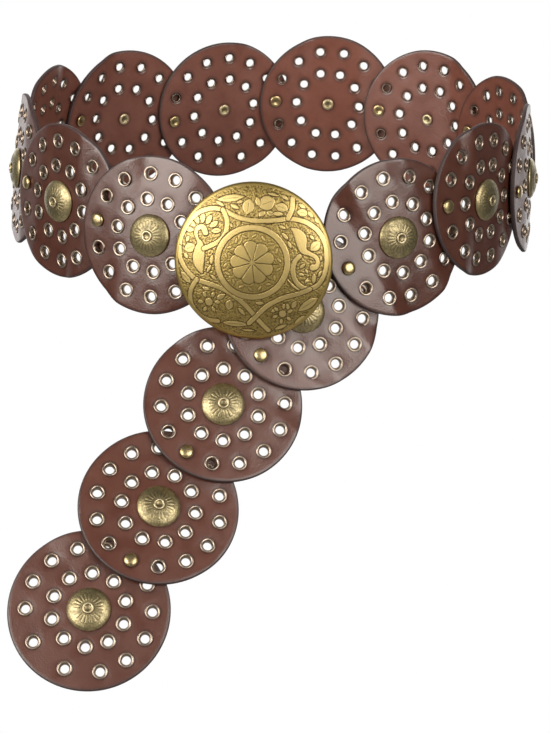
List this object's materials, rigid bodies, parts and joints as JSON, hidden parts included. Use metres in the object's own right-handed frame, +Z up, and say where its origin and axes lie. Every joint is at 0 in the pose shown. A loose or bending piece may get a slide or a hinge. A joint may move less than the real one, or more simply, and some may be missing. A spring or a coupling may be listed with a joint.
{
  "type": "concho belt",
  "caption": "Hip belt of round riveted leather discs with brass conchos and eyelets, closed by a large domed engraved brass buckle with a hanging tail.",
  "frame": {"origin": "middle of the worn loop, where the wearer's waist or hips sit", "axes": "+Z up along the wearer, -Y to the front where the buckle is, +X to the right as seen from the front"},
  "size_m": [0.3065, 0.3721, 0.2704],
  "materials": {
    "leather": "smooth red-brown leather with a soft sheen, redder at the fastening end",
    "concho_brass": "aged antique brass, petals darkened in the grooves",
    "rivet_brass": "smooth aged brass",
    "buckle_brass": "stamped relief with a dark stippled ground"
  },
  "bodies": {
    "root": {"leather_disc_01": "leather", "leather_disc_02": "leather", "leather_disc_03": "leather", "leather_disc_04": "leather", "leather_disc_05": "leather", "leather_disc_06": "leather", "leather_disc_07": "leather", "leather_disc_08": "leather", "leather_disc_09": "leather", "leather_disc_10": "leather", "leather_disc_11": "leather", "leather_disc_12": "leather", "leather_disc_13": "leather", "leather_disc_14": "leather", "leather_disc_15": "leather", "leather_disc_16": "leather", "concho_01": "concho_brass", "concho_02": "concho_brass", "concho_03": "concho_brass", "concho_04": "concho_brass", "concho_05": "concho_brass", "concho_06": "concho_brass", "concho_07": "concho_brass", "concho_08": "concho_brass", "concho_09": "concho_brass", "concho_10": "concho_brass", "concho_11": "concho_brass", "concho_12": "concho_brass", "concho_13": "concho_brass", "concho_14": "concho_brass", "concho_15": "concho_brass", "concho_16": "concho_brass", "link_rivet_01": "rivet_brass", "link_rivet_02": "rivet_brass", "link_rivet_03": "rivet_brass", "link_rivet_04": "rivet_brass", "link_rivet_05": "rivet_brass", "link_rivet_06": "rivet_brass", "link_rivet_07": "rivet_brass", "link_rivet_08": "rivet_brass", "link_rivet_09": "rivet_brass", "link_rivet_10": "rivet_brass", "link_rivet_11": "rivet_brass", "link_rivet_12": "rivet_brass", "link_rivet_13": "rivet_brass", "link_rivet_14": "rivet_brass", "link_rivet_15": "rivet_brass", "buckle": "buckle_brass"}
  },
  "joints": []
}
